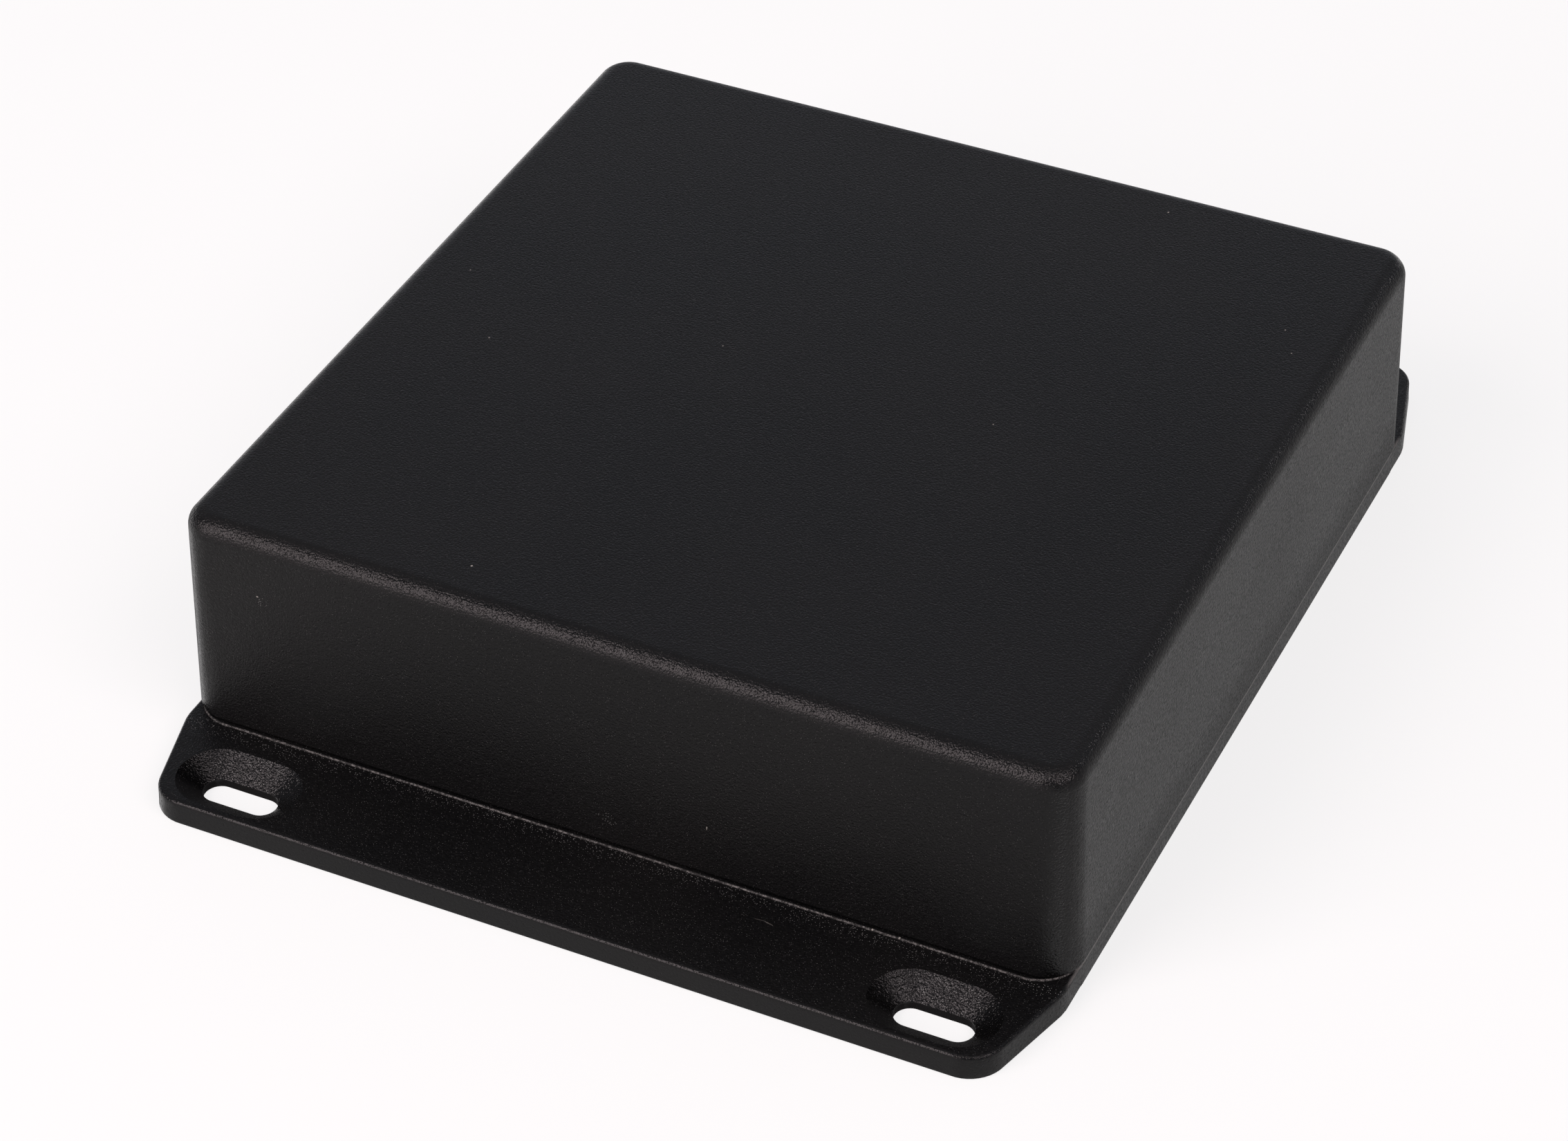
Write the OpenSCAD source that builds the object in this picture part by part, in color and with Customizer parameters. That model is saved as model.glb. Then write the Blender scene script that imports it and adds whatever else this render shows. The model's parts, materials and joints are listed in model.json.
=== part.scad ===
// Flanged die cast enclosure: a drafted box, open below, screwed to a lid with two slotted flanges.
// X runs along the flanges, Y from the front flange to the back one, Z up from the lid's underside.

/* [Body] */
// Width and depth of the box where it meets the lid
body_w = 120; // [100:1:180]
// Height of the closed enclosure
overall_h = 34.2; // [26:0.1:60]
// Thickness of the side walls
wall_t = 2.4; // [1.8:0.1:3]
// Thickness of the closed top
roof_t = 2.6; // [1.8:0.1:5]
// Draft of the box's walls and pillars, in degrees
draft = 1.6; // [0.5:0.1:2.5]
// Radius of the upright corners at the open end
corner_r = 5.2; // [5:0.1:9]
// Radius of the top edge
top_edge_r = 2.6; // [0.6:0.1:3]
// Radius of the outer edge at the open end
rim_edge_r = 0.5; // [0.2:0.1:1]
// Radius between the inside walls and the closed top
cavity_edge_r = 1.2; // [0.4:0.1:1.5]

/* [Lid] */
// Thickness of the flanges
flange_t = 3.4; // [3:0.1:6]
// Reach of each flange past the face of the box
flange_reach = 15.6; // [14:0.1:30]
// Angle by which the flange's sides run inwards, in degrees
flange_taper = 15; // [5:1:20]
// Distance past the face of the box at which the flange's sides turn inwards
flange_shoulder = 0.5; // [0:0.1:2]
// Radius where the flange's sides turn inwards
shoulder_r = 9; // [6:1:20]
// Radius of the flange's outer corners
flange_corner_r = 5; // [3:0.1:7]
// Distance by which the lid's sides stand back from the box
lid_reveal = 0.1; // [0:0.05:0.5]
// Distance by which the flanges' sides stand back from the lid's
flange_setback = 0.05; // [0.05:0.05:0.5]
// Draft of the lid's edge, in degrees
lid_draft = 3; // [0.5:0.5:5]
// Radius of the lid's upper edge
lid_edge_r = 0.5; // [0.2:0.1:1]
// Radius of the lid's lower edge
lid_foot_r = 0.3; // [0.1:0.1:0.6]
// Height of the box's seat above the flanges
seat_rise = 0.25; // [0.1:0.05:0.6]
// Radius of the seat's edge
seat_edge_r = 0.3; // [0.3:0.1:0.8]
// Width of the seat that shows in front of the box
seat_margin = 0.6; // [0.2:0.1:1.5]
// Height of the locating ribs inside the box
rib_h = 2; // [1:0.1:4]
// Thickness of the locating ribs at their foot
rib_t = 1.8; // [1.2:0.1:3]
// Gap between the locating ribs and the box
rib_gap = 0.3; // [0.15:0.05:0.6]

/* [Mounting slots] */
// Distance from a slot's middle to the side of the lid
slot_side = 13; // [12.5:0.1:30]
// Distance from a slot's middle to the flange's outer edge
slot_edge = 6.5; // [6.3:0.1:8.5]
// Width of a slot
slot_w = 4.2; // [3:0.1:5.5]
// Length of a slot from end to end
slot_len = 10.2; // [7:0.1:12]
// Height of the slot's straight wall
slot_land = 1.1; // [0.6:0.1:2]
// Width of the slot's countersink at the top
sink_w = 10.6; // [6:0.1:11]

/* [Lid screws] */
// Diameter of the screws over the thread
screw_d = 3.5; // [2.5:0.1:4]
// Length of a screw with its head
screw_len = 12; // [8:0.5:18]
// Diameter of a screw's head
head_d = 6.8; // [6:0.1:7.6]
// Full angle of a screw's head, in degrees
head_angle = 90; // [82:1:100]
// Height of the straight rim of a screw's head
head_rim = 0.3; // [0.1:0.1:0.6]
// Depth of a screw's head below the lid's underside
head_sunk = 0.15; // [0.05:0.05:0.4]
// Length of the chamfer at a screw's tip
tip_chamfer = 0.5; // [0.2:0.1:1]
// Width of the arms of a screw's cross recess
recess_w = 0.9; // [0.6:0.1:1.2]
// Span of a screw's cross recess
recess_span = 3.6; // [2.4:0.1:4]
// Depth of a screw's cross recess
recess_depth = 1.2; // [0.6:0.1:1.5]
// Distance from a screw's axis to the face of the box
screw_inset = 6.6; // [6:0.1:9]
// Diameter of the corner pillars at the open end
pillar_d = 9.2; // [7.5:0.1:12]
// Gap around a screw's shank in the lid
shank_gap = 0.25; // [0.1:0.05:0.4]
// Gap around a screw's head in the lid
head_gap = 0.05; // [0.03:0.01:0.1]
// Gap around a screw's thread in its pillar
thread_gap = 0.05; // [0.03:0.01:0.1]
// Depth of the tapped holes past the screws' tips
tap_spare = 2; // [1:0.5:4]

/* [Hidden] */
$fn = 96;
coat = [0.09, 0.09, 0.1];
plating = [0.62, 0.62, 0.64];

// Length by which a cut runs past the face that it opens
overcut = 1;
// Overlap of a cast block's core with its sides, and swell of its rounded corners past its sides
core_lap = 0.5;
corner_swell = 1.0015;
// Longest step along a rounded edge, and the fewest steps that one has
edge_step = 0.5;
edge_steps_min = 3;

// Levels: the box stands on the seat, and the cavity ends under the closed top
seat_z = flange_t + seat_rise;
roof_z = overall_h - roof_t;
tip_z = head_sunk + screw_len;

// Half sizes and places, each repeated in every quarter
body_half = body_w / 2;
lid_half_x = body_half - lid_reveal;
lid_half_y = body_half + flange_reach;
shoulder_y = body_half + flange_shoulder;
flange_half_x = lid_half_x - flange_setback;
flange_end_x = flange_half_x - (lid_half_y - shoulder_y) * tan(flange_taper);
slot_x = lid_half_x - slot_side;
slot_y = lid_half_y - slot_edge;
screw_x = body_half - screw_inset;
signs = [-1, 1];

// Convex outlines run anticlockwise, and each corner has a radius of its own
function box_plan(hx, hy) = [[hx, -hy], [hx, hy], [-hx, hy], [-hx, -hy]];
function same_radii(plan, r) = [for (p = plan) r];
flange_plan = [
    [flange_half_x, -shoulder_y], [flange_half_x, shoulder_y],
    [flange_end_x, lid_half_y], [-flange_end_x, lid_half_y],
    [-flange_half_x, shoulder_y], [-flange_half_x, -shoulder_y],
    [-flange_end_x, -lid_half_y], [flange_end_x, -lid_half_y]
];
flange_radii = [for (p = flange_plan) abs(p.y) == shoulder_y ? shoulder_r : flange_corner_r];

// Direction and outward normal of an outline's edge, and a corner moved in by a distance
function item(list, i) = list[(i + len(list)) % len(list)];
function edge_dir(plan, i) = let (e = item(plan, i + 1) - item(plan, i)) e / norm(e);
function outward(plan, i) = let (e = edge_dir(plan, i)) [e.y, -e.x];
function inset_corner(plan, i, d) =
    let (a = outward(plan, i - 1), b = outward(plan, i)) item(plan, i) - (a + b) * d / (1 + a * b);

// Points along an arc, or its centre alone where the radius is zero
function arc_points(centre, r, from, to) =
    let (steps = r > 0 ? max(edge_steps_min, ceil(r * (to - from) * PI / 180 / edge_step)) : 0)
    [for (k = [0 : steps]) let (a = from + (to - from) * k / max(steps, 1)) centre + r * [cos(a), sin(a)]];

// Section from an upright axis to a cast edge: the wall leans inwards and has rounded edges
module edge_section(reach, z0, z1, lean, top_r, foot_r) {
    top = [reach + (z0 + top_r - z1) * tan(lean) - top_r / cos(lean), z1 - top_r];
    foot = [reach - foot_r * tan(lean) - foot_r / cos(lean), z0 + foot_r];
    polygon(concat(
        [[0, z0]],
        arc_points(foot, foot_r, -90, lean),
        arc_points(top, top_r, lean, 90),
        [[0, z1]]
    ));
}

// Cast block with a rounded convex outline: a flat core, a bar along each side and a round at each corner
module cast_block(plan, radii, z0, z1, lean, top_r = 0, foot_r = 0) {
    depth = min(radii);
    corners = [0 : len(plan) - 1];
    translate([0, 0, z0]) linear_extrude(z1 - z0)
        polygon([for (i = corners) inset_corner(plan, i, depth - core_lap)]);
    for (i = corners) {
        n = outward(plan, i);
        axis = inset_corner(plan, i, radii[i]);
        next_r = item(radii, i + 1);
        next_axis = inset_corner(plan, i + 1, next_r);
        run = (next_axis - axis) * edge_dir(plan, i);
        translate(next_axis + n * (next_r - depth)) rotate(atan2(n.y, n.x)) rotate([90, 0, 0])
            linear_extrude(run) edge_section(depth, z0, z1, lean, top_r, foot_r);
        translate(axis) rotate_extrude()
            edge_section(radii[i] * corner_swell, z0, z1, lean, top_r, foot_r);
    }
}

// Bar along X with a symmetrical section that widens or narrows upwards
module tapered_bar(low_w, high_w, run, h) {
    rotate([90, 0, 90]) linear_extrude(run)
        polygon([[-low_w / 2, 0], [low_w / 2, 0], [high_w / 2, h], [-high_w / 2, h]]);
}

// Round ended slot along X, straight or opening upwards
module slot_cut(low_w, high_w, run, h) {
    for (s = signs) translate([s * run / 2, 0, 0]) cylinder(h = h, d1 = low_w, d2 = high_w);
    translate([-run / 2, 0, 0]) tapered_bar(low_w, high_w, run, h);
}

// Mounting slot: a straight wall below and a countersink above
module mounting_slot() {
    run = slot_len - slot_w;
    sink_h = flange_t - slot_land;
    over_w = sink_w + (sink_w - slot_w) * overcut / sink_h;
    translate([0, 0, -overcut]) slot_cut(slot_w, slot_w, run, slot_land + 2 * overcut);
    translate([0, 0, slot_land]) slot_cut(slot_w, over_w, run, sink_h + overcut);
}

// Space inside the box, before the pillars take their corners from it
module cavity() {
    half = body_half - wall_t + overcut * tan(draft);
    plan = box_plan(half, half);
    cast_block(plan, same_radii(plan, corner_r), seat_z - overcut, roof_z, draft, cavity_edge_r);
}

// Corner pillar: round towards the inside, joined to both walls, and wider towards the closed top
module pillar() {
    h = roof_z - seat_z + 2 * overcut;
    top_d = pillar_d + 2 * h * tan(draft);
    translate([screw_x, screw_x, seat_z - overcut]) {
        cylinder(h = h, d1 = pillar_d, d2 = top_d);
        tapered_bar(pillar_d, top_d, screw_inset, h);
        rotate(90) tapered_bar(pillar_d, top_d, screw_inset, h);
        cube([screw_inset, screw_inset, h]);
    }
}

// Tapped hole up into a pillar
module tapped_hole() {
    translate([screw_x, screw_x, seat_z - overcut])
        cylinder(h = tip_z + tap_spare - seat_z + overcut, d = screw_d + 2 * thread_gap);
}

// Screw hole through the lid, countersunk from below
module screw_hole() {
    head_r = head_d / 2 + head_gap;
    shank_r = screw_d / 2 + shank_gap;
    cone_z = head_sunk + head_rim;
    translate([screw_x, screw_x, 0]) rotate_extrude() polygon([
        [0, -overcut],
        [head_r, -overcut],
        [head_r, cone_z],
        [shank_r, cone_z + (head_r - shank_r) / tan(head_angle / 2)],
        [shank_r, seat_z + overcut],
        [0, seat_z + overcut]
    ]);
}

// Flat head screw, standing on its head, with a cross recess
module flat_head_screw() {
    head_r = head_d / 2;
    shank_r = screw_d / 2;
    cone_z = head_sunk + head_rim;
    difference() {
        rotate_extrude() polygon([
            [0, head_sunk],
            [head_r, head_sunk],
            [head_r, cone_z],
            [shank_r, cone_z + (head_r - shank_r) / tan(head_angle / 2)],
            [shank_r, tip_z - tip_chamfer],
            [shank_r - tip_chamfer, tip_z],
            [0, tip_z]
        ]);
        for (turn = [0, 90]) rotate(turn)
            translate([-recess_span / 2, -recess_w / 2, head_sunk - overcut])
                cube([recess_span, recess_w, recess_depth + overcut]);
    }
}

// Plate under the box, whose rim in front and behind stands a little higher than the flanges
module seat_plate() {
    plan = box_plan(lid_half_x, body_half + seat_margin);
    cast_block(plan, same_radii(plan, corner_r + seat_margin), 0, seat_z, lid_draft, seat_edge_r, lid_foot_r);
}

// Plate that runs on past the box as the two flanges
module flange_plate() {
    cast_block(flange_plan, flange_radii, 0, flange_t, lid_draft, lid_edge_r, lid_foot_r);
}

// Locating rib along one side, between two pillars
module locating_rib() {
    run = 2 * (screw_x - pillar_d / 2 - rib_gap);
    middle = body_half - wall_t - rib_gap - rib_t / 2;
    h = seat_z + rib_h - flange_t / 2;
    translate([-run / 2, middle, flange_t / 2])
        tapered_bar(rib_t, rib_t - 2 * h * tan(lid_draft), run, h);
}

// Box, open below
module enclosure_body() {
    plan = box_plan(body_half, body_half);
    color(coat) difference() {
        cast_block(plan, same_radii(plan, corner_r), seat_z, overall_h, draft, top_edge_r, rim_edge_r);
        difference() {
            cavity();
            for (turn = [0 : 90 : 270]) rotate(turn) pillar();
        }
        for (turn = [0 : 90 : 270]) rotate(turn) tapped_hole();
    }
}

// Lid with its two flanges
module flanged_lid() {
    color(coat) difference() {
        union() {
            seat_plate();
            flange_plate();
            for (turn = [0 : 90 : 270]) rotate(turn) locating_rib();
        }
        for (sx = signs, sy = signs) translate([sx * slot_x, sy * slot_y, 0]) mounting_slot();
        for (turn = [0 : 90 : 270]) rotate(turn) screw_hole();
    }
}

// Four screws that hold the lid
module lid_screws() {
    color(plating) for (turn = [0 : 90 : 270]) rotate(turn)
        translate([screw_x, screw_x, 0]) flat_head_screw();
}

enclosure_body();
flanged_lid();
lid_screws();
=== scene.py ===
"""Looks of the flanged die cast enclosure: coated castings, plated screws, a pale floor and soft light."""

import json
import math
from functools import reduce

import bmesh
import bpy
from mathutils import Matrix, Vector


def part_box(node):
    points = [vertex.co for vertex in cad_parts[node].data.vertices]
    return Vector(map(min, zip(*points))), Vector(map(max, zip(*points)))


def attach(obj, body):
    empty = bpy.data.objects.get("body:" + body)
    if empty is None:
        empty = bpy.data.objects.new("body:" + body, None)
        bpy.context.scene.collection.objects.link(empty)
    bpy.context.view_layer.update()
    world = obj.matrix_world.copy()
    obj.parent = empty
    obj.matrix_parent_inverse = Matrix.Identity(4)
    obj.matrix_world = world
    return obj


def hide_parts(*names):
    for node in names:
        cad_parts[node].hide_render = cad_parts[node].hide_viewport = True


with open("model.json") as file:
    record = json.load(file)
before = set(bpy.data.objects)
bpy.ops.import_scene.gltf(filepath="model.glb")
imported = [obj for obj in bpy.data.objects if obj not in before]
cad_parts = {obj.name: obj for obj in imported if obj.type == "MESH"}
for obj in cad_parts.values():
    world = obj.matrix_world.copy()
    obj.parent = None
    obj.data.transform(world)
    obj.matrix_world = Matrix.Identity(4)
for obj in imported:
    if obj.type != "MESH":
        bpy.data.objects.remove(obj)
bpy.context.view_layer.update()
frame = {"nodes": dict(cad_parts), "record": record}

# Lengths are written in millimetres and used in metres
MM = 0.001
PER_METRE = 1000.0

# Colour sockets of a Mix node, by number, because its number sockets have the same names
MIX_FIRST = 6
MIX_SECOND = 7
MIX_RESULT = 2

# Noise: its average, and its usual detail and roughness
NOISE_MIDDLE = 0.5
NOISE_DETAIL = 2.0
NOISE_ROUGHNESS = 0.5


class Wire:
    """A socket in a node tree. Arithmetic on it adds Math nodes, and node() adds any other kind."""

    def __init__(self, tree, socket=None):
        self.tree, self.socket = tree, socket

    def node(self, kind, settings, sockets, output=0):
        """Adds a node: first its settings, then the values or links of its sockets."""
        made = self.tree.nodes.new(kind)
        for name, value in settings.items():
            setattr(made, name, value)
        for key, value in sockets.items():
            if isinstance(value, Wire):
                self.tree.links.new(value.socket, made.inputs[key])
            else:
                made.inputs[key].default_value = value
        return Wire(self.tree, made.outputs[output])

    def math(self, operation, *values):
        """A Math node on the given values."""
        return self.node("ShaderNodeMath", {"operation": operation}, dict(enumerate(values)))

    def __add__(self, other):
        return self.math("ADD", self, other)

    def __sub__(self, other):
        return self.math("SUBTRACT", self, other)

    def __rsub__(self, other):
        return self.math("SUBTRACT", other, self)

    def __mul__(self, other):
        return self.math("MULTIPLY", self, other)

    __radd__ = __add__
    __rmul__ = __mul__

    def most(self, other):
        """The larger of two values."""
        return self.math("MAXIMUM", self, other)

    def rise(self, start, end):
        """From 0 at start to 1 at end, smoothly, whichever of the two is larger."""
        low, high = min(start, end), max(start, end)
        return self.node(
            "ShaderNodeMapRange",
            {"interpolation_type": "SMOOTHSTEP"},
            {"Value": self, "From Min": low, "From Max": high,
             "To Min": float(start > end), "To Max": float(start < end)},
        )

    def vector(self, operation, *others, output=0):
        """A Vector Math node on this vector and any others."""
        sockets = dict(enumerate((self,) + others))
        return self.node("ShaderNodeVectorMath", {"operation": operation}, sockets, output)

    def length(self):
        """A vector's length."""
        return self.vector("LENGTH", output="Value")

    def along(self, axis):
        """A vector's part along X, Y or Z."""
        return self.node("ShaderNodeSeparateXYZ", {}, {0: self}, axis)

    def noise(self, per_mm, detail=NOISE_DETAIL, roughness=NOISE_ROUGHNESS):
        """Noise over a place in millimetres."""
        return self.node(
            "ShaderNodeTexNoise", {},
            {"Vector": self, "Scale": per_mm, "Detail": detail, "Roughness": roughness},
        )

    def dots(self, per_mm):
        """Distance in millimetres to the nearest of many points strewn through space."""
        nearest = self.node(
            "ShaderNodeTexVoronoi", {}, {"Vector": self, "Scale": per_mm, "Randomness": 1.0}
        )
        return nearest * (1.0 / per_mm)

    def patch(self, place, half_sizes, turn_deg=0.0):
        """Distance from a place, as a share of an ellipsoid's half sizes there, turned about Z."""
        local = self.node(
            "ShaderNodeMapping", {"vector_type": "TEXTURE"},
            {"Vector": self, "Location": place, "Scale": half_sizes,
             "Rotation": (0.0, 0.0, math.radians(turn_deg))},
        )
        return local.length()

    def blend(self, colour, other):
        """One colour to another as this value goes from 0 to 1."""
        return self.node(
            "ShaderNodeMix", {"data_type": "RGBA"},
            {"Factor": self, MIX_FIRST: colour, MIX_SECOND: other}, MIX_RESULT,
        )


def new_material(name):
    """An empty material, with its Principled shader and the place in millimetres that its patterns read."""
    material = bpy.data.materials.new(name)
    material.use_nodes = True
    shader = material.node_tree.nodes["Principled BSDF"]
    start = Wire(material.node_tree)
    metres = start.node("ShaderNodeTexCoord", {}, {}, "Object")
    place = start.node(
        "ShaderNodeVectorMath", {"operation": "SCALE"}, {0: metres, "Scale": PER_METRE}
    )
    return material, shader, place


def feed(shader, **sockets):
    """Sets a shader's sockets by name, where an underscore stands for a space."""
    for key, value in sockets.items():
        socket = shader.inputs[key.replace("_", " ")]
        if isinstance(value, Wire):
            value.tree.links.new(value.socket, socket)
        else:
            socket.default_value = value


# Places on the castings, from the frame, apart from the seat's rise and the slots' land.
# The box is square, so its face is as far from the middle along X as along Y.
body_low, body_high = (Vector(corner) * PER_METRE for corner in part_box("enclosure_body"))
FACE = body_high.y
FLANGE_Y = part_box("flanged_lid")[1][1] * PER_METRE
TOP_Z = body_high.z
SEAT_Z = body_low.z
SEAT_RISE = 0.25
LID_TOP = SEAT_Z - SEAT_RISE
slot_dims = next(m["dims"] for m in frame["record"]["mounts"] if m["name"] == "mounting_slots")
SLOT_MIDDLE = (slot_dims["spacing_x_mm"] / 2, slot_dims["spacing_y_mm"] / 2, 0.0)
SLOT_R = slot_dims["hole_r_mm"]
SLOT_HALF = slot_dims["slot_length_mm"] / 2
SLOT_LAND = 1.1

# Below, a pair is a range for rise(), which is 0 at the first value and 1 at the second

# Black satin coat
COAT_DEEP = (0.0011, 0.0011, 0.0012, 1.0)
COAT_PALE = (0.0021, 0.0020, 0.0020, 1.0)
COAT_SPECULAR = 0.185
COAT_BUMP = 1.0
CLOUDS_PER_MM = 0.03
CLOUD_DETAIL = 3.0
CLOUD_FADE = (0.35, 0.65)

# Roughness: dull on faces and glossier on rounded edges
FACE_ROUGH = 0.47
EDGE_ROUGH = 0.19
DRY_ROUGH = 0.60
CLOUD_ROUGH = 0.10
MOTTLE_ROUGH = 0.45
PIT_ROUGH = 0.25
DUST_ROUGH = 0.40
EDGE_TO_FACE = (0.80, 0.97)
SIDE_REACH = 1.25

# Dry coat: the slots' walls, slopes that face the middle of the box, and faintly the side walls' feet
INWARD = (-5.0, -30.0)
UPRIGHT = (0.5, 0.2)
SLOT_MARGIN = 1.5
LAND_MARGIN = 0.5
SLOT_WALL = (SLOT_HALF + SLOT_MARGIN, SLOT_R + SLOT_MARGIN, SLOT_LAND + LAND_MARGIN)
SLOT_FADE = (1.1, 0.9)
WALL_FOOT_DRY = 0.13
WALL_FOOT = (12.0, SEAT_Z + 0.6)
ABOVE_LID = (LID_TOP, SEAT_Z)

# Smoother coat on the lid's upright faces, its underside and its flanges' rims
BELOW_LID_TOP = (LID_TOP + 0.1, LID_TOP)
FLANGE_RIM = (FLANGE_Y - 0.9, FLANGE_Y - 0.6)
RIM_SHARE = 0.4
SIDE_CALM = 0.65
SIDE_GLINT_LOSS = 0.1

# Grain of the coat: low pebbles on a swell, calmer on faces than on edges, with pits and a fine grit
PEBBLES_PER_MM = 4.0
PEBBLE_RISE = 0.80
SWELL_PER_MM = 3.1
SWELL_HEIGHT = 0.080
FACE_CALM = 0.30
PITS_PER_MM = 1.8
PIT_R = 0.13
PIT_FLOOR_R = 0.05
PIT_DEPTH = 0.030
GRIT_PER_MM = 11.0
GRIT_DETAIL = 1.0
GRIT_RISE = 0.012

# Glints: painted highlights, bright points painted into the coat's colour where grain would catch the light,
# crowded in the places below
GLINTS_PER_MM = 3.8
GLINT_REACH = 0.008
GLINT_SPREAD = 0.032
GLINT_CROWD = 0.034
GLINT_SOFT = 0.012
PAINTED_GLINT_COLOUR = (0.098, 0.099, 0.096, 1.0)
GLINT_PATCHES_PER_MM = 0.8

# Painted glints crowded along the seam on the flanges, with a lesser share over the rest of the flanges
LID_GLINT_SHARE = 0.15
SEAM_Y = FACE + 0.3
SEAM_FADE = (SEAM_Y + 3.4, SEAM_Y)
PAST_SEAM = (SEAM_Y - 0.2, SEAM_Y)
LID_LEVEL = (LID_TOP + 0.8, LID_TOP + 0.4)

# Painted glints along the brow of each side, by how far its rounded edge has turned sideways
BROW_GLINT_SHARE = 0.75
BROW_FROM = (0.40, 0.50)
BROW_TO = (0.72, 0.62)
BROW_LEVEL = (TOP_Z - 2.0, TOP_Z - 1.0)

# Painted glints on the side of each countersink that faces outwards, lifting the countersinks' highlight
SINK_GLINT_SHARE = 1.1
SINK_REACH = 3.6
SINK_SIZE = (SLOT_HALF + SINK_REACH, SLOT_R + SINK_REACH, 2 * LID_TOP)
SINK_FADE = (1.15, 1.05)
SINK_SLOPE = (0.2, 0.4)
OUTWARD = (14.0, 34.0)

# Scuff and smear on the front wall, drawn as crowded painted glints: the place and the half sizes
SPOT_FADE = (1.0, 0.3)
RUBBED_GLINT_SPOTS = (
    ((-47.5, -59.4, 25.0), (1.5, 1.0, 1.2)),
    ((-0.5, -59.9, 7.5), (2.3, 1.0, 1.3)),
)

# Pale line along the edge of the seat, painted into the coat's colour: partly a painted highlight on the
# rounded edge and partly coat that wears thin there; beaded in front and behind
LINE_WEAR_AND_HIGHLIGHT_COLOUR = (0.080, 0.076, 0.072, 1.0)
LINE_FAINT = 0.10
LINE_DULL = 0.45
LINE_TOP = (SEAT_Z - 0.01, SEAT_Z - 0.06)
LINE_FOOT = (LID_TOP + 0.01, LID_TOP + 0.07)
LINE_NEAR_FACE = (FACE - 6.0, FACE - 3.0)
SEAT_LIP_REACH = (FACE + 0.20, FACE + 0.35)
SEAT_LIP_LEVEL = (SEAT_Z + 0.15, SEAT_Z + 0.05)
BEADS_PER_MM = 2.2
BEAD_DETAIL = 3.0
BEAD_ROUGHNESS = 0.7
BEAD_FADE = (0.42, 0.64)

# The same line along the sides, unbroken, on the lid's rounded edge
SIDE_LINE = 0.90
SIDE_LINE_FOOT = (LID_TOP - 0.38, LID_TOP - 0.23)
SIDE_LINE_FACE = (FACE - 0.7, FACE - 0.4)
SIDE_LINE_ENDS = (FACE, FACE - 2.0)

# Specks and fibres of dust: the place, the half sizes, the turn in degrees and the share of the colour
DUST_COLOUR = (0.230, 0.220, 0.200, 1.0)
DUST_HEIGHT = 0.02
SPECK_FADE = (1.1, 0.6)
DUST_SPECKS = (
    ((-51.5, 2.5, TOP_Z), (0.10, 0.12, 0.12), 0.0, 1.0),
    ((-42.0, -10.0, TOP_Z), (0.11, 0.13, 0.12), 0.0, 1.0),
    ((-14.0, 1.0, TOP_Z), (0.09, 0.11, 0.10), 0.0, 1.0),
    ((26.5, 53.5, TOP_Z), (0.12, 0.16, 0.12), 0.0, 1.0),
    ((50.0, 34.5, TOP_Z), (0.10, 0.12, 0.10), 0.0, 1.0),
    ((52.5, 30.0, TOP_Z), (0.10, 0.12, 0.10), 0.0, 1.0),
    ((24.0, 0.0, TOP_Z), (0.10, 0.12, 0.10), 0.0, 1.0),
    ((-21.5, -52.5, TOP_Z), (0.14, 0.17, 0.14), 0.0, 1.0),
    ((13.0, -59.8, 11.0), (0.08, 0.30, 0.30), 0.0, 0.7),
    ((-48.0, -59.4, 25.5), (0.16, 0.30, 0.11), 0.0, 0.8),
    ((22.0, -64.2, LID_TOP), (0.75, 0.09, 0.15), 4.0, 0.10),
    ((23.2, -64.3, LID_TOP), (0.75, 0.09, 0.15), -12.0, 0.22),
    ((35.0, -60.3, SEAT_Z), (0.14, 0.14, 0.20), 0.0, 1.0),
    ((38.5, -60.3, SEAT_Z), (0.14, 0.20, 0.20), 0.0, 0.7),
)


def coat_flatness(normal):
    """1 on flat faces and 0 on rounded edges. Edges that turn to the left or right count as flat sooner."""
    facing = normal.vector("ABSOLUTE")
    across_side = facing.along("X") * SIDE_REACH
    return across_side.most(facing.along("Y")).most(facing.along("Z")).rise(*EDGE_TO_FACE)


def coat_dryness(place, normal):
    """Dry coat: 1 in the slots and on slopes that face the box, and faint at the foot of the side walls."""
    up, facing = place.along("Z"), normal.vector("ABSOLUTE")
    inward = (place.along("Y") * normal.along("Y")).rise(*INWARD)
    slot = place.vector("ABSOLUTE").patch(SLOT_MIDDLE, SLOT_WALL).rise(*SLOT_FADE)
    slot_wall = slot * facing.along("Z").rise(*UPRIGHT)
    foot = WALL_FOOT_DRY * facing.along("X").rise(*EDGE_TO_FACE) * up.rise(*WALL_FOOT) * up.rise(*ABOVE_LID)
    return inward.most(slot_wall).most(foot)


def lid_sides(place, normal):
    """1 on the lid's upright faces and its underside, and a share of that on the rims of its flanges."""
    rim = place.vector("ABSOLUTE").along("Y").rise(*FLANGE_RIM)
    smooth = normal.along("Z").rise(*UPRIGHT).most(RIM_SHARE * rim)
    return place.along("Z").rise(*BELOW_LID_TOP) * smooth


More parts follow.
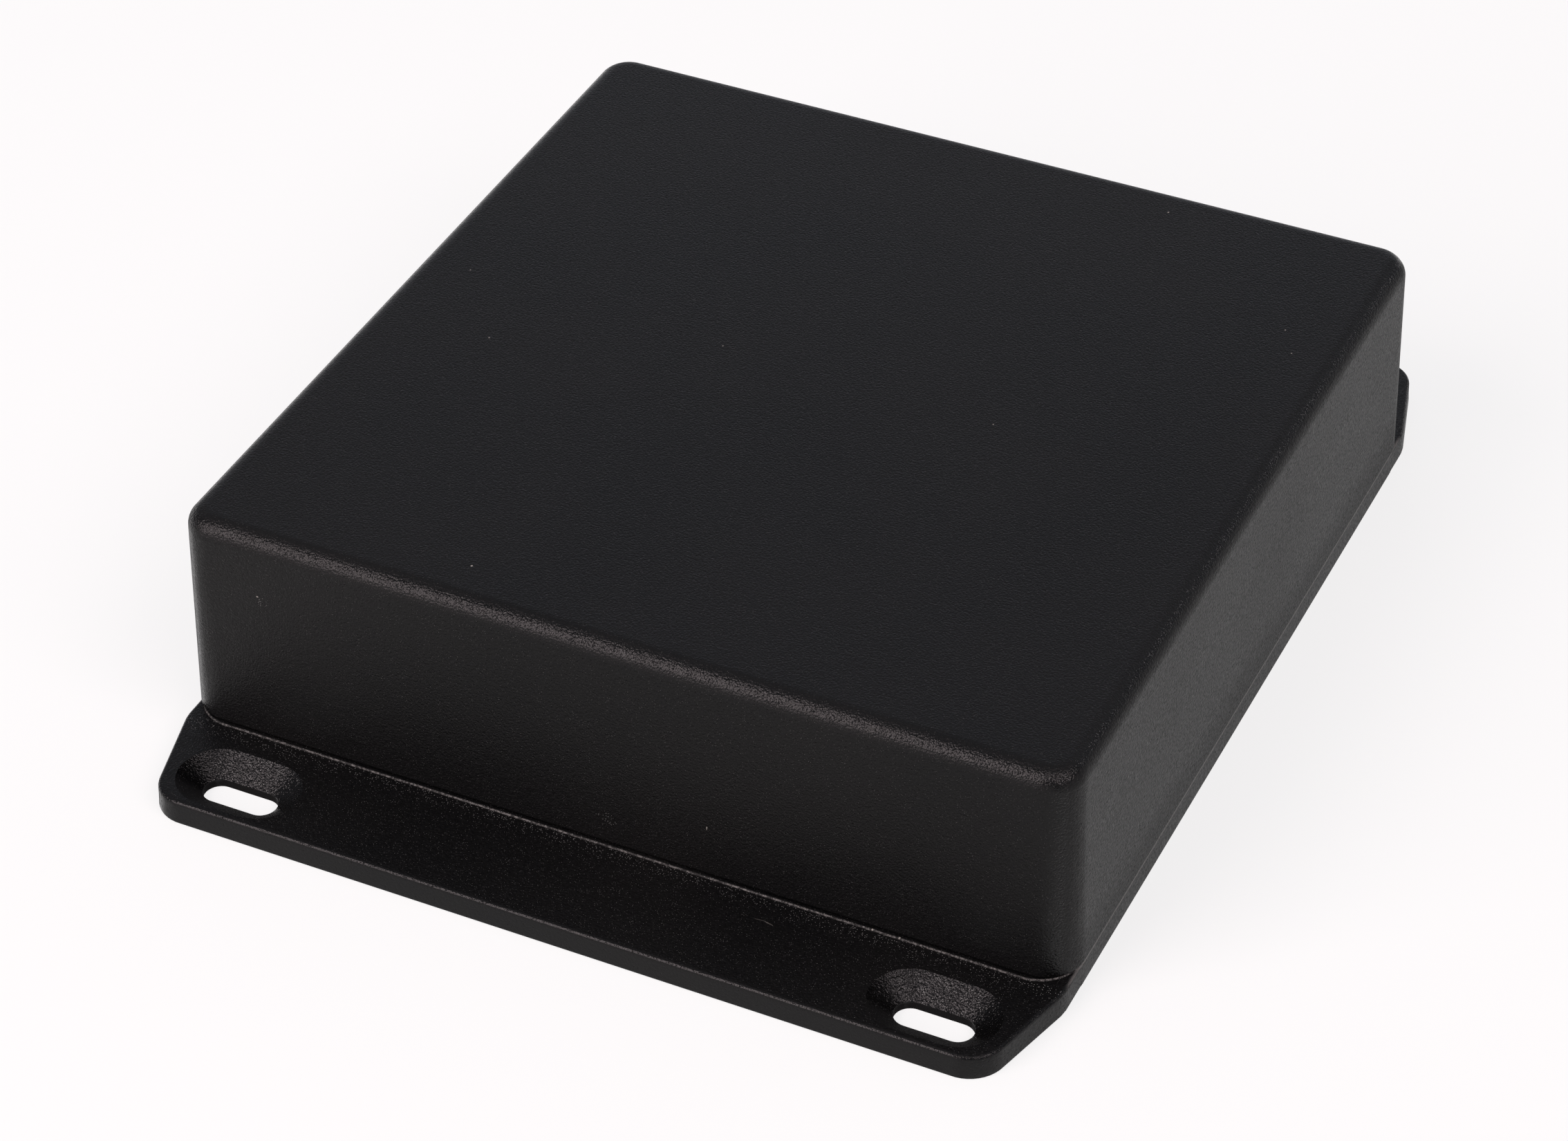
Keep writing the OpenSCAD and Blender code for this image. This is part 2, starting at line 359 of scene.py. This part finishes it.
def painted_glints(place, normal):
    """Painted highlights: fine bright points in the coat's colour, crowded along the seam, on each brow, in
    the countersinks and on the scuff and smear.
    """
    distances = place.vector("ABSOLUTE")
    across, up = distances.along("Y"), place.along("Z")
    on_lid = up.rise(*LID_LEVEL) * across.rise(*PAST_SEAM)
    glint_crowding = on_lid * (LID_GLINT_SHARE + (1.0 - LID_GLINT_SHARE) * across.rise(*SEAM_FADE))
    sideways = normal.vector("ABSOLUTE").along("X")
    brow = sideways.rise(*BROW_FROM) * sideways.rise(*BROW_TO) * up.rise(*BROW_LEVEL)
    glint_crowding = glint_crowding.most(BROW_GLINT_SHARE * brow)
    outward = (place.along("Y") * normal.along("Y")).rise(*OUTWARD)
    sink = distances.patch(SLOT_MIDDLE, SINK_SIZE).rise(*SINK_FADE)
    cone = outward * normal.along("Z").rise(*SINK_SLOPE) * sink
    glint_crowding = glint_crowding.most(SINK_GLINT_SHARE * cone)
    for spot, half_sizes in RUBBED_GLINT_SPOTS:
        glint_crowding = glint_crowding.most(place.patch(spot, half_sizes).rise(*SPOT_FADE))
    reach = GLINT_REACH + GLINT_SPREAD * place.noise(GLINT_PATCHES_PER_MM) + GLINT_CROWD * glint_crowding
    reach = reach - SIDE_GLINT_LOSS * lid_sides(place, normal)
    return (place.dots(GLINTS_PER_MM) - reach).rise(GLINT_SOFT, -GLINT_SOFT)


def seat_line_wear_and_highlight(place):
    """Pale line, partly painted highlight and partly wear, at the edge of the seat below the box: first in
    front and behind, then along the sides.
    """
    distances = place.vector("ABSOLUTE")
    beside, across, up = distances.along("X"), distances.along("Y"), place.along("Z")
    edge = up.rise(*LINE_TOP)
    lip = across.rise(*SEAT_LIP_REACH) * up.rise(*SEAT_LIP_LEVEL)
    line = edge.most(lip) * up.rise(*LINE_FOOT) * across.rise(*LINE_NEAR_FACE)
    side = edge * up.rise(*SIDE_LINE_FOOT) * beside.rise(*SIDE_LINE_FACE)
    return line, SIDE_LINE * side * across.rise(*SIDE_LINE_ENDS)


def dust_specks(place):
    """The share of dust on each speck and fibre, with a ragged outline."""
    grit = place.noise(GRIT_PER_MM, GRIT_DETAIL) - NOISE_MIDDLE
    specks = [
        share * (place.patch(spot, half_sizes, turn_deg) + grit).rise(*SPECK_FADE)
        for spot, half_sizes, turn_deg, share in DUST_SPECKS
    ]
    return reduce(Wire.most, specks)


def black_coat():
    """Satin powder coat over a casting: a pebbled grain, painted glints, pits, a pale seat line that is
    partly wear and partly a painted highlight, and a little dust.
    """
    material, shader, place = new_material("black_coat")
    normal = place.node("ShaderNodeNewGeometry", {}, {}, "Normal")
    flat = coat_flatness(normal)
    cloud = place.noise(CLOUDS_PER_MM, CLOUD_DETAIL)
    swell = place.noise(SWELL_PER_MM)
    pebble = place.dots(PEBBLES_PER_MM)
    pit = place.dots(PITS_PER_MM).rise(PIT_R, PIT_FLOOR_R)
    dust = dust_specks(place)
    line, side_line = seat_line_wear_and_highlight(place)
    bead = place.noise(BEADS_PER_MM, BEAD_DETAIL, BEAD_ROUGHNESS).rise(*BEAD_FADE)
    line_wear_and_highlight = (line * (LINE_FAINT + (1.0 - LINE_FAINT) * bead)).most(side_line)

    tone = cloud.rise(*CLOUD_FADE).blend(COAT_DEEP, COAT_PALE)
    # Pale seat line: partly wear, partly a painted highlight on the rounded edge
    tone = line_wear_and_highlight.blend(tone, LINE_WEAR_AND_HIGHLIGHT_COLOUR)
    # Painted highlights: glints painted into the coat's colour
    tone = painted_glints(place, normal).blend(tone, PAINTED_GLINT_COLOUR)
    tone = dust.blend(tone, DUST_COLOUR)

    rough = EDGE_ROUGH + (FACE_ROUGH - EDGE_ROUGH) * flat + DRY_ROUGH * coat_dryness(place, normal)
    rough = rough + CLOUD_ROUGH * (cloud - NOISE_MIDDLE) - MOTTLE_ROUGH * (swell - NOISE_MIDDLE)
    rough = rough + PIT_ROUGH * pit + DUST_ROUGH * dust + LINE_DULL * line * (1.0 - bead)

    grain = SWELL_HEIGHT * swell - PEBBLE_RISE * pebble * pebble
    grain = grain + GRIT_RISE * place.noise(GRIT_PER_MM, GRIT_DETAIL) * (1.0 - flat)
    grain = grain * (1.0 - FACE_CALM * flat) * (1.0 - SIDE_CALM * lid_sides(place, normal))
    height = grain - PIT_DEPTH * pit + DUST_HEIGHT * dust
    bump = height.node(
        "ShaderNodeBump", {}, {"Height": height, "Distance": MM, "Strength": COAT_BUMP}
    )
    feed(
        shader, Base_Color=tone, Roughness=rough, Normal=bump,
        Specular_IOR_Level=COAT_SPECULAR, Metallic=0.0,
    )
    return material


# Place of the lid's screws, the same along X and Y
SCREW_PLACE = 53.4
ACROSS_SCREW = (1.0, 1.0, 0.0)

# Plated steel: a cloudy bloom over bright zinc, and rings from turning that wander a little
PLATE_BRIGHT = (0.66, 0.66, 0.68, 1.0)
PLATE_DULL = (0.46, 0.46, 0.46, 1.0)
PLATE_ROUGH = 0.26
PLATE_BUMP = 0.6
BLOOM_PER_MM = 1.5
BLOOM_DETAIL = 4.0
BLOOM_FADE = (0.40, 0.75)
BLOOM_ROUGH = 0.14
BLOOM_HEIGHT = 0.01
RING_RADIANS_PER_MM = 60.0
RING_WANDER = 6.0
WANDERS_PER_MM = 0.8
RING_ROUGH = 0.04
RING_HEIGHT = 0.002


def plated_steel():
    """Bright zinc plate with faint rings from turning, about each screw's own axis."""
    material, shader, place = new_material("plated_steel")
    about = place.vector("ABSOLUTE").vector("SUBTRACT", (SCREW_PLACE, SCREW_PLACE, 0.0))
    radius = about.vector("MULTIPLY", ACROSS_SCREW).length()
    wander = RING_WANDER * place.noise(WANDERS_PER_MM)
    ring = radius.math("SINE", radius * RING_RADIANS_PER_MM + wander)
    bloom = place.noise(BLOOM_PER_MM, BLOOM_DETAIL)
    tone = bloom.rise(*BLOOM_FADE).blend(PLATE_BRIGHT, PLATE_DULL)
    rough = PLATE_ROUGH + BLOOM_ROUGH * bloom + RING_ROUGH * ring
    height = RING_HEIGHT * ring + BLOOM_HEIGHT * bloom
    bump = height.node(
        "ShaderNodeBump", {}, {"Height": height, "Distance": MM, "Strength": PLATE_BUMP}
    )
    feed(shader, Base_Color=tone, Roughness=rough, Normal=bump, Metallic=1.0)
    return material


def geometry_tree(name, inputs):
    """A Geometry Nodes tree with named inputs, with its wires by name and its output node."""
    tree = bpy.data.node_groups.new(name, "GeometryNodeTree")
    tree.interface.new_socket("Geometry", in_out="INPUT", socket_type="NodeSocketGeometry")
    for label, kind in inputs:
        tree.interface.new_socket(label, in_out="INPUT", socket_type=kind)
    tree.interface.new_socket("Geometry", in_out="OUTPUT", socket_type="NodeSocketGeometry")
    source = tree.nodes.new("NodeGroupInput")
    wires = {s.name: Wire(tree, s) for s in source.outputs if s.name}
    return tree, wires, tree.nodes.new("NodeGroupOutput")


def put_on(piece, tree, values):
    """Adds a tree to a piece as a modifier, with each input set by its socket's identifier."""
    modifier = piece.modifiers.new(tree.name, "NODES")
    modifier.node_group = tree
    for item in tree.interface.items_tree:
        if item.in_out == "INPUT" and item.name in values:
            modifier[item.identifier] = values[item.name]


# Shading: how close points are joined, and the bend past which an edge is sharp
MERGE_GAP = 0.001 * MM
CREASE = math.radians(30.0)


def smooth_shading_tree():
    """Joins loose triangles, smooths them and keeps the edges sharp that bend more than the crease angle."""
    tree, wires, end = geometry_tree(
        "smooth_shading", [("Merge gap", "NodeSocketFloat"), ("Crease", "NodeSocketFloat")]
    )
    merged = wires["Geometry"].node(
        "GeometryNodeMergeByDistance", {},
        {"Geometry": wires["Geometry"], "Distance": wires["Merge gap"]},
    )
    smooth = merged.node(
        "GeometryNodeSetShadeSmooth", {"domain": "FACE"}, {"Geometry": merged, "Shade Smooth": True}
    )
    bend = merged.node("GeometryNodeInputMeshEdgeAngle", {}, {}, "Unsigned Angle")
    sharp = merged.node(
        "FunctionNodeCompare", {"data_type": "FLOAT", "operation": "GREATER_THAN"},
        {0: bend, 1: wires["Crease"]},
    )
    creased = merged.node(
        "GeometryNodeSetShadeSmooth", {"domain": "EDGE"},
        {"Geometry": smooth, "Selection": sharp, "Shade Smooth": False},
    )
    tree.links.new(creased.socket, end.inputs[0])
    return tree


def finish_casting(piece, tree, material):
    """Gives a casting its coat and its shading: flat faces stay flat and rounded edges turn smoothly."""
    put_on(piece, tree, {"Merge gap": MERGE_GAP, "Crease": CREASE})
    weighted = piece.modifiers.new("flat_faces", "WEIGHTED_NORMAL")
    weighted.keep_sharp = True
    for slot in piece.material_slots:
        slot.material = material


# Lid screw, standing on its head
HEAD_R = 3.4
SHANK_R = 1.75
FACE_Z = 0.15
FACE_BEVEL = 0.08
RIM_Z = 0.45
NECK_Z = RIM_Z + HEAD_R - SHANK_R
TIP_Z = 12.15
TIP_CHAMFER = 0.5
SCREWS_A_SIDE = 2
SCREW_TURN_SEED = 7

# Rolled thread: a ridge with a flat crest and straight flanks
ROOT_R = 1.39
PITCH = 0.6
RINGS_A_TURN = 8
RIDGE_CREST = 1.3
RIDGE_SLOPE = 2.9

# Cross recess: its mouth, its softened lip, and its bottom as shares of the mouth and the depth
RECESS_ARMS = 4
RECESS_SPAN = 3.6
RECESS_W = 0.9
RECESS_DEPTH = 1.2
LIP_DROP = 0.06
LIP_SPAN_LOSS = 0.04
LIP_W_LOSS = 0.02
BOTTOM_DEPTH_SHARE = 0.85
BOTTOM_SPAN_SHARE = 0.42
BOTTOM_W_SHARE = 0.70
ARC_STEPS = 3
LEAST_SINE = 1e-6


def recess_reach(angle, half_span, half_w):
    """Distance from a cross's middle to its outline, at an angle."""
    c, s = abs(math.cos(angle)), abs(math.sin(angle))
    along, across = max(c, s), min(c, s)
    return min(half_span / along, half_w / max(across, LEAST_SINE))


def thread_reach(angle, z):
    """Distance from the axis to the thread, which fades out at both ends."""
    turn = (z / PITCH - angle / math.tau) % 1.0
    ridge = min(1.0, max(0.0, RIDGE_CREST - RIDGE_SLOPE * abs(turn - 0.5)))
    fade = min(1.0, max(0.0, (z - NECK_Z) / PITCH), max(0.0, (TIP_Z - z) / PITCH))
    chamfer = SHANK_R - max(0.0, z - (TIP_Z - TIP_CHAMFER))
    return min(ROOT_R + (SHANK_R - ROOT_R) * ridge * fade, chamfer)


def screw_angles():
    """Angles of a ring's points, with one at each corner of the cross recess."""
    corner = math.atan2(RECESS_W, RECESS_SPAN)
    quarter = math.tau / RECESS_ARMS
    middle = quarter / 2
    steps = [0.0, corner / 2]
    steps += [corner + (middle - corner) * k / ARC_STEPS for k in range(ARC_STEPS)]
    steps += [middle + (middle - corner) * k / ARC_STEPS for k in range(ARC_STEPS)]
    steps += [quarter - corner, quarter - corner / 2]
    return [quarter * q + a for q in range(RECESS_ARMS) for a in steps]


def screw_mesh():
    """One screw: a flat head with a tapered cross recess, and a rolled thread down to a chamfered tip."""
    angles = screw_angles()
    rings = []

    def ring(z, reach):
        """Adds a ring of points at a height, with its reach at each angle."""
        rings.append([(reach(a) * math.cos(a), reach(a) * math.sin(a), z) for a in angles])

    half_span, half_w = RECESS_SPAN / 2, RECESS_W / 2
    ring(
        FACE_Z + BOTTOM_DEPTH_SHARE * RECESS_DEPTH,
        lambda a: recess_reach(a, BOTTOM_SPAN_SHARE * half_span, BOTTOM_W_SHARE * half_w),
    )
    ring(FACE_Z + LIP_DROP, lambda a: recess_reach(a, half_span - LIP_SPAN_LOSS, half_w - LIP_W_LOSS))
    ring(FACE_Z, lambda a: recess_reach(a, half_span, half_w))
    ring(FACE_Z, lambda a: HEAD_R - FACE_BEVEL)
    ring(FACE_Z + FACE_BEVEL, lambda a: HEAD_R)
    ring(RIM_Z, lambda a: HEAD_R)
    ring(NECK_Z, lambda a: SHANK_R)
    count = int((TIP_Z - NECK_Z) / PITCH * RINGS_A_TURN)
    for k in range(1, count + 1):
        z = NECK_Z + (TIP_Z - NECK_Z) * k / count
        ring(z, lambda a: thread_reach(a, z))

    bm = bmesh.new()
    loops = [[bm.verts.new(Vector(p) * MM) for p in points] for points in rings]
    n = len(angles)
    for low, high in zip(loops, loops[1:]):
        for i in range(n):
            j = (i + 1) % n
            bm.faces.new((low[i], low[j], high[j], high[i]))
    for loop, z in ((loops[0], FACE_Z + RECESS_DEPTH), (loops[-1], TIP_Z)):
        middle = bm.verts.new((0.0, 0.0, z * MM))
        for i in range(n):
            bm.faces.new((middle, loop[i], loop[(i + 1) % n]))
    bmesh.ops.recalc_face_normals(bm, faces=bm.faces)
    mesh = bpy.data.meshes.new("screw")
    bm.to_mesh(mesh)
    bm.free()
    mesh.shade_smooth()
    mesh.set_sharp_from_angle(angle=CREASE)
    return mesh


def screw_pattern_tree():
    """Four screws at the corners of a square, each left at a turn of its own."""
    tree, wires, end = geometry_tree(
        "screw_pattern",
        [("Screw", "NodeSocketObject"), ("Spacing", "NodeSocketFloat"), ("Screws a side", "NodeSocketInt"),
         ("Turn seed", "NodeSocketInt"), ("Finish", "NodeSocketMaterial")],
    )
    start = wires["Geometry"]
    grid = start.node(
        "GeometryNodeMeshGrid", {},
        {"Size X": wires["Spacing"], "Size Y": wires["Spacing"],
         "Vertices X": wires["Screws a side"], "Vertices Y": wires["Screws a side"]},
    )
    screw = start.node(
        "GeometryNodeObjectInfo", {"transform_space": "ORIGINAL"}, {"Object": wires["Screw"]}, "Geometry"
    )
    turn = start.node(
        "FunctionNodeRandomValue", {"data_type": "FLOAT_VECTOR"},
        {"Min": (0.0, 0.0, 0.0), "Max": (0.0, 0.0, math.tau), "Seed": wires["Turn seed"]},
    )
    placed = start.node(
        "GeometryNodeInstanceOnPoints", {}, {"Points": grid, "Instance": screw, "Rotation": turn}
    )
    real = placed.node("GeometryNodeRealizeInstances", {}, {"Geometry": placed})
    finished = real.node(
        "GeometryNodeSetMaterial", {}, {"Geometry": real, "Material": wires["Finish"]}
    )
    tree.links.new(finished.socket, end.inputs[0])
    return tree


def make_lid_screws(material):
    """The four screws as one plain mesh."""
    pattern = bpy.data.objects.new("screw", screw_mesh())
    piece = bpy.data.objects.new("screws_in_lid", bpy.data.meshes.new("screws_in_lid"))
    bpy.context.scene.collection.objects.link(pattern)
    bpy.context.scene.collection.objects.link(piece)
    put_on(piece, screw_pattern_tree(), {
        "Screw": pattern, "Spacing": 2 * SCREW_PLACE * MM, "Screws a side": SCREWS_A_SIDE,
        "Turn seed": SCREW_TURN_SEED, "Finish": material,
    })
    evaluated = piece.evaluated_get(bpy.context.evaluated_depsgraph_get())
    mesh = bpy.data.meshes.new_from_object(evaluated)
    piece.modifiers.clear()
    piece.data = mesh
    bpy.data.objects.remove(pattern)
    return piece


# Stage
FLOOR_HALF = 4000.0
FLOOR_COLOUR = (0.76, 0.75, 0.74, 1.0)
FLOOR_GLOW = 0.75
WHITE = (1.0, 1.0, 1.0, 1.0)
WHITE_STRENGTH = 1.0
SKY_COLOUR = (0.292, 0.296, 0.328, 1.0)
SKY_STRENGTH = 1.0
SOFTBOX_DISTANCE = 2000.0

# Softboxes: name, azimuth and elevation in degrees, width, height, power in watts and colour
SOFTBOXES = (
    ("left_softbox", -28.0, 33.0, 1250.0, 1700.0, 46.0, (1.0, 0.87, 0.88)),
    ("right_softbox", 64.0, 47.0, 1250.0, 1250.0, 24.0, (1.0, 0.87, 0.88)),
    ("back_softbox", 205.0, 13.0, 1800.0, 700.0, 3.2, (0.86, 0.90, 1.0)),
    ("overhead_softbox", -120.0, 68.0, 1500.0, 1500.0, 1.6, (0.92, 0.95, 1.0)),
    ("far_softbox", 155.0, 36.0, 1500.0, 1100.0, 2.0, (0.92, 0.95, 1.0)),
)


def make_floor():
    """Pale floor, level with the lid's underside, that shows white and keeps the object's shadow."""
    half = FLOOR_HALF * MM
    corners = [(-half, -half, 0.0), (half, -half, 0.0), (half, half, 0.0), (-half, half, 0.0)]
    mesh = bpy.data.meshes.new("floor")
    mesh.from_pydata(corners, [], [(0, 1, 2, 3)])
    floor = bpy.data.objects.new("floor", mesh)
    bpy.context.scene.collection.objects.link(floor)
    material = bpy.data.materials.new("pale_floor")
    material.use_nodes = True
    tree = material.node_tree
    start = Wire(tree)
    seen = start.node("ShaderNodeLightPath", {}, {}, "Is Camera Ray")
    for ray in ("Is Glossy Ray", "Is Transmission Ray"):
        seen = seen.most(start.node("ShaderNodeLightPath", {}, {}, ray))
    lit = start.node("ShaderNodeBsdfDiffuse", {}, {"Color": FLOOR_COLOUR})
    white = start.node("ShaderNodeEmission", {}, {"Color": WHITE, "Strength": WHITE_STRENGTH})
    mixed = start.node("ShaderNodeMixShader", {}, {0: seen * FLOOR_GLOW, 1: lit, 2: white})
    tree.links.new(mixed.socket, tree.nodes["Material Output"].inputs["Surface"])
    mesh.materials.append(material)


def direction(azimuth_deg, elevation_deg):
    """Unit vector from the object, where azimuth 0 is in front and turns towards +X."""
    a, e = math.radians(azimuth_deg), math.radians(elevation_deg)
    return Vector((math.sin(a) * math.cos(e), -math.cos(a) * math.cos(e), math.sin(e)))


def make_softbox(name, azimuth_deg, elevation_deg, width, height, power, colour):
    """Soft rectangular light that faces the object."""
    lamp = bpy.data.lights.new(name, "AREA")
    lamp.shape = "RECTANGLE"
    lamp.size, lamp.size_y = width * MM, height * MM
    lamp.energy = power
    lamp.color = colour
    light = bpy.data.objects.new(name, lamp)
    bpy.context.scene.collection.objects.link(light)
    away = direction(azimuth_deg, elevation_deg)
    light.location = away * SOFTBOX_DISTANCE * MM
    light.rotation_euler = (-away).to_track_quat("-Z", "Y").to_euler()
    light.visible_camera = False


def make_light():
    """Even pale surroundings, a softbox in front on each side, and fainter ones above and behind."""
    world = bpy.data.worlds.new("surroundings")
    world.use_nodes = True
    back = world.node_tree.nodes["Background"]
    back.inputs["Color"].default_value = SKY_COLOUR
    back.inputs["Strength"].default_value = SKY_STRENGTH
    bpy.context.scene.world = world
    for softbox in SOFTBOXES:
        make_softbox(*softbox)


# Camera, solved from the outline in the photograph, with its angles in degrees
CAMERA_AZIMUTH = 25.494
CAMERA_ELEVATION = 38.391
CAMERA_ROLL = -0.366
CAMERA_DISTANCE = 568.96
CAMERA_AIM = (0.0, 0.0, 15.0)
CAMERA_AIM_RIGHT = -4.575
CAMERA_AIM_UP = -9.431
CAMERA_LENS = 100.95
SENSOR_W = 36.0


def make_camera():
    """Camera at the photograph's viewing angle, with its slight roll."""
    away = direction(CAMERA_AZIMUTH, CAMERA_ELEVATION)
    turn = math.radians(CAMERA_AZIMUTH)
    level = Vector((math.cos(turn), math.sin(turn), 0.0))
    upright = away.cross(level)
    aim = Vector(CAMERA_AIM) + level * CAMERA_AIM_RIGHT + upright * CAMERA_AIM_UP
    roll = math.radians(CAMERA_ROLL)
    right = level * math.cos(roll) + upright * math.sin(roll)
    up = away.cross(right)
    place = (aim + away * CAMERA_DISTANCE) * MM
    lens = bpy.data.cameras.new("camera")
    lens.sensor_fit = "HORIZONTAL"
    lens.sensor_width = SENSOR_W
    lens.lens = CAMERA_LENS
    camera = bpy.data.objects.new("camera", lens)
    bpy.context.scene.collection.objects.link(camera)
    camera.matrix_world = Matrix.Translation(place) @ Matrix((right, up, away)).transposed().to_4x4()
    bpy.context.scene.camera = camera


bpy.context.scene.view_settings.view_transform = "Standard"
make_camera()
make_floor()
make_light()

coat = black_coat()
shading = smooth_shading_tree()
for node in ("enclosure_body", "flanged_lid"):
    finish_casting(frame["nodes"][node], shading, coat)

screws = make_lid_screws(plated_steel())
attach(screws, "root")
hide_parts("lid_screws")
